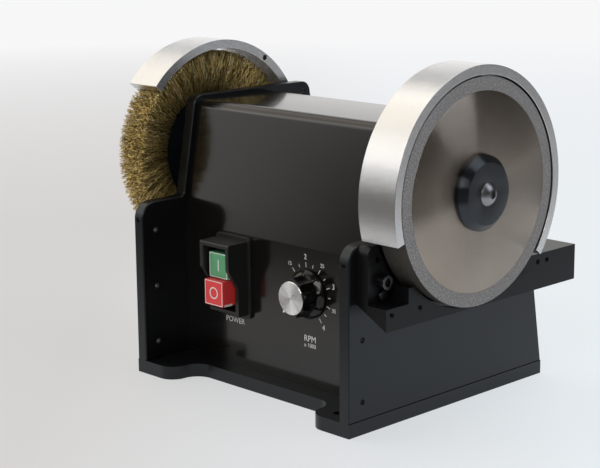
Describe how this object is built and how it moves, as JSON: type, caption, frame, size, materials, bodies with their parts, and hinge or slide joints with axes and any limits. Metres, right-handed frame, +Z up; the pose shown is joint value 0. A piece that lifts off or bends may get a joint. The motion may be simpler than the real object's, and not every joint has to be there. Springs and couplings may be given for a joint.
{
  "type": "bench grinder",
  "caption": "Plate-built bench grinder with a grinding wheel and a wire wheel on one spindle, round guards, an accessory bar, a push-button switch and a speed knob.",
  "frame": {"origin": "centre of the base plate's underside", "axes": "+X along the spindle towards the grinding wheel, +Z up, front at -Y"},
  "size_m": [0.2998, 0.2033, 0.2351],
  "materials": {
    "anodised_black": "black anodised plate",
    "gloss_black": "gloss black sheet",
    "guard_aluminium": "fine turned",
    "wheel_steel": "turned",
    "abrasive_grit": "plated grit",
    "wire_brass": "crimped wire",
    "black_steel": "blackened",
    "black_plastic": "moulded",
    "green_plastic": "moulded",
    "red_plastic": "moulded",
    "knob_plastic": "moulded",
    "knob_metal": "spun",
    "motor_steel": "plain",
    "bearing_steel": "ground",
    "seal_rubber": "moulded",
    "magnet": "sintered",
    "copper": "bare",
    "carbon": "pressed",
    "board": "laminate",
    "capacitor": "sleeved"
  },
  "bodies": {
    "frame": {"base_plate": "anodised_black", "left_side_plate": "anodised_black", "right_side_plate": "anodised_black", "accessory_bar": "anodised_black", "front_cover": "gloss_black", "rear_panel": "gloss_black", "left_guard": "guard_aluminium", "right_guard": "guard_aluminium", "guard_spacers": "guard_aluminium", "bar_screws": "black_steel", "guard_screws": "black_steel", "switch_shroud": "black_plastic", "switch_faceplate": "black_plastic", "switch_body": "black_plastic", "power_inlet": "black_plastic", "brush_holders": "black_plastic", "heat_sink": "knob_metal", "motor_can": "motor_steel", "left_end_bell": "motor_steel", "right_end_bell": "motor_steel", "motor_cradle": "motor_steel", "potentiometer": "motor_steel", "board_standoffs": "motor_steel", "bearing_outer_rings": "bearing_steel", "bearing_seals": "seal_rubber", "field_magnets": "magnet", "carbon_brushes": "carbon", "controller_board": "board", "capacitors": "capacitor"},
    "spindle": {"spindle_shaft": "motor_steel", "wheel_core": "wheel_steel", "abrasive_rim": "abrasive_grit", "wire_wheel_hub": "black_steel", "wire_bristles": "wire_brass", "left_back_flange": "black_steel", "right_back_flange": "black_steel", "left_hub_flange": "black_steel", "right_hub_flange": "black_steel", "left_hub_screw": "motor_steel", "right_hub_screw": "motor_steel", "armature_core": "motor_steel", "armature_windings": "copper", "commutator": "copper", "bearing_inner_rings": "bearing_steel"},
    "knob": {"knob_body": "knob_plastic", "knob_cap": "knob_metal", "knob_shaft": "motor_steel"},
    "start_button": {"start_button": "green_plastic"},
    "stop_button": {"stop_button": "red_plastic"}
  },
  "joints": [
    {"name": "spindle_spin", "type": "hinge", "parent": "frame", "child": "spindle", "pos_m": [0, -0.0116, 0.1526], "axis": [1, 0, 0], "continuous": true},
    {"name": "knob_turn", "type": "hinge", "parent": "frame", "child": "knob", "pos_m": [0.03, -0.0602, 0.075], "axis": [0, 1, 0], "range_deg": [0, 290]},
    {"name": "start_press", "type": "slide", "parent": "frame", "child": "start_button", "axis": [0, 1, 0], "range_m": [0, 0.003], "stiffness_N_per_m": 300},
    {"name": "stop_press", "type": "slide", "parent": "frame", "child": "stop_button", "axis": [0, 1, 0], "range_m": [0, 0.004], "stiffness_N_per_m": 300}
  ]
}
